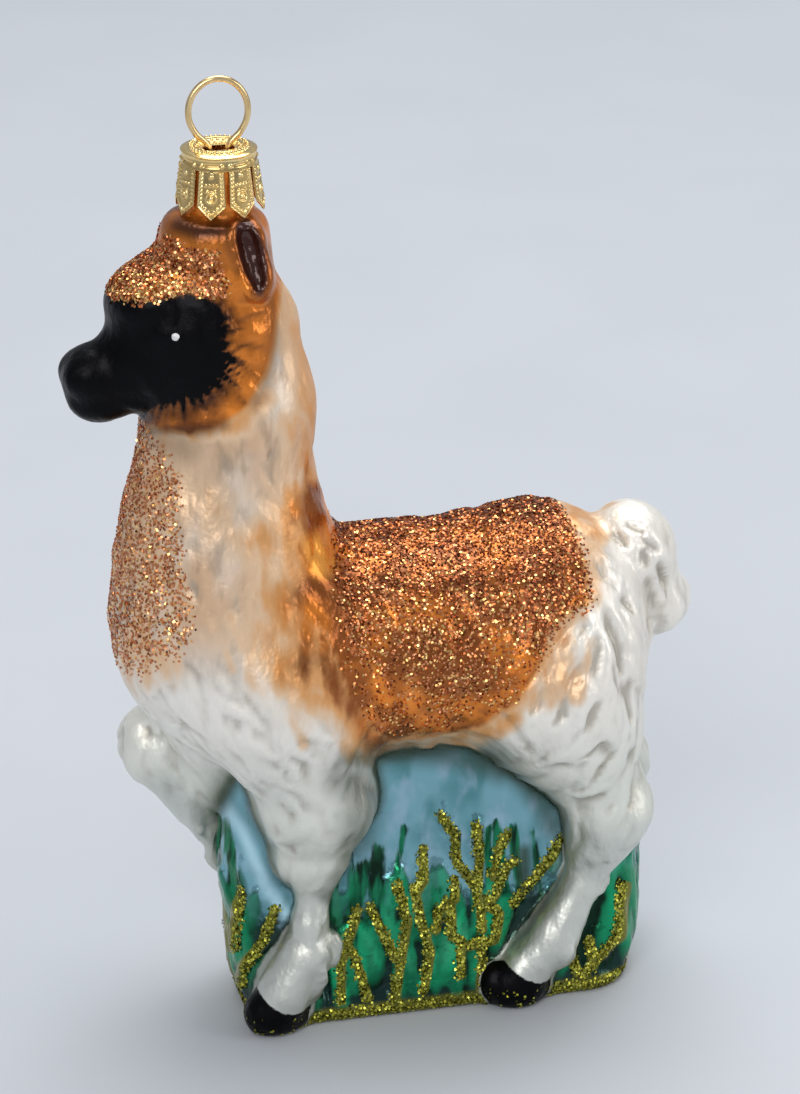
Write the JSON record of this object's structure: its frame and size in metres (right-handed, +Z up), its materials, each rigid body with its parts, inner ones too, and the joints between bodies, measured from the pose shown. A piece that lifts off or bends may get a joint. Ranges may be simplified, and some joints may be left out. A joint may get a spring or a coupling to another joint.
{
  "type": "llama glass tree ornament",
  "caption": "Hollow blown-glass llama stepping over a tuft of grass, painted and glittered, with a stamped crown cap and a wire hanging loop.",
  "frame": {"origin": "middle of the ornament's bounding box, on the surface that it stands on", "axes": "+Z up, the llama looks along -Y, its left side is +X"},
  "size_m": [0.034, 0.0798, 0.1265],
  "materials": {
    "painted_glass": "silvered blown glass under pearl, candy orange, black, blue and green lacquer, with glitter",
    "cap_metal": "stamped thin sheet, gold coloured, bright",
    "hanger_wire": "bright gold coloured spring wire"
  },
  "bodies": {
    "root": {"glass_body": "painted_glass", "cap": "cap_metal", "hanger_ring": "hanger_wire"}
  },
  "joints": []
}
